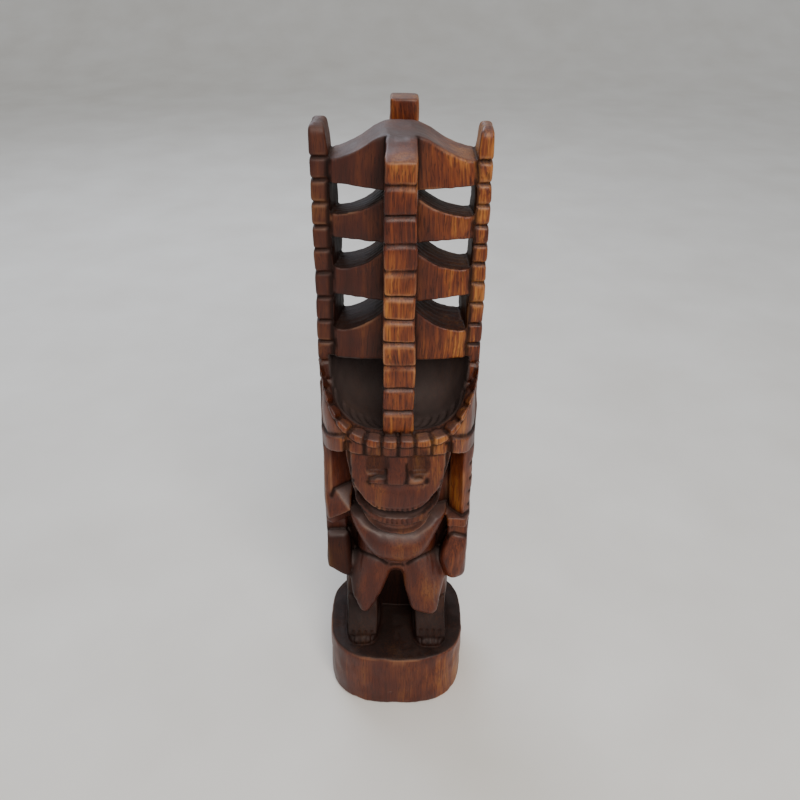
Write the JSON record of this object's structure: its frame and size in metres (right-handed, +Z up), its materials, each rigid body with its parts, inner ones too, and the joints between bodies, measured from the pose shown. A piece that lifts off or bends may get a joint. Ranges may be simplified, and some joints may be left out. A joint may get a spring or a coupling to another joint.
{
  "type": "wooden tiki carving",
  "caption": "Hand-carved wooden tiki: a squat figure with an open mouth on a rounded plinth, under a tall openwork headdress of notched posts and bars.",
  "frame": {"origin": "middle of the plinth's underside", "axes": "+Z up along the carving, the face looks along -Y, +X is the viewer's right"},
  "size_m": [0.0948, 0.0908, 0.4002],
  "materials": {
    "wood": "satin"
  },
  "bodies": {
    "root": {"tiki_carving": "wood"}
  },
  "joints": []
}
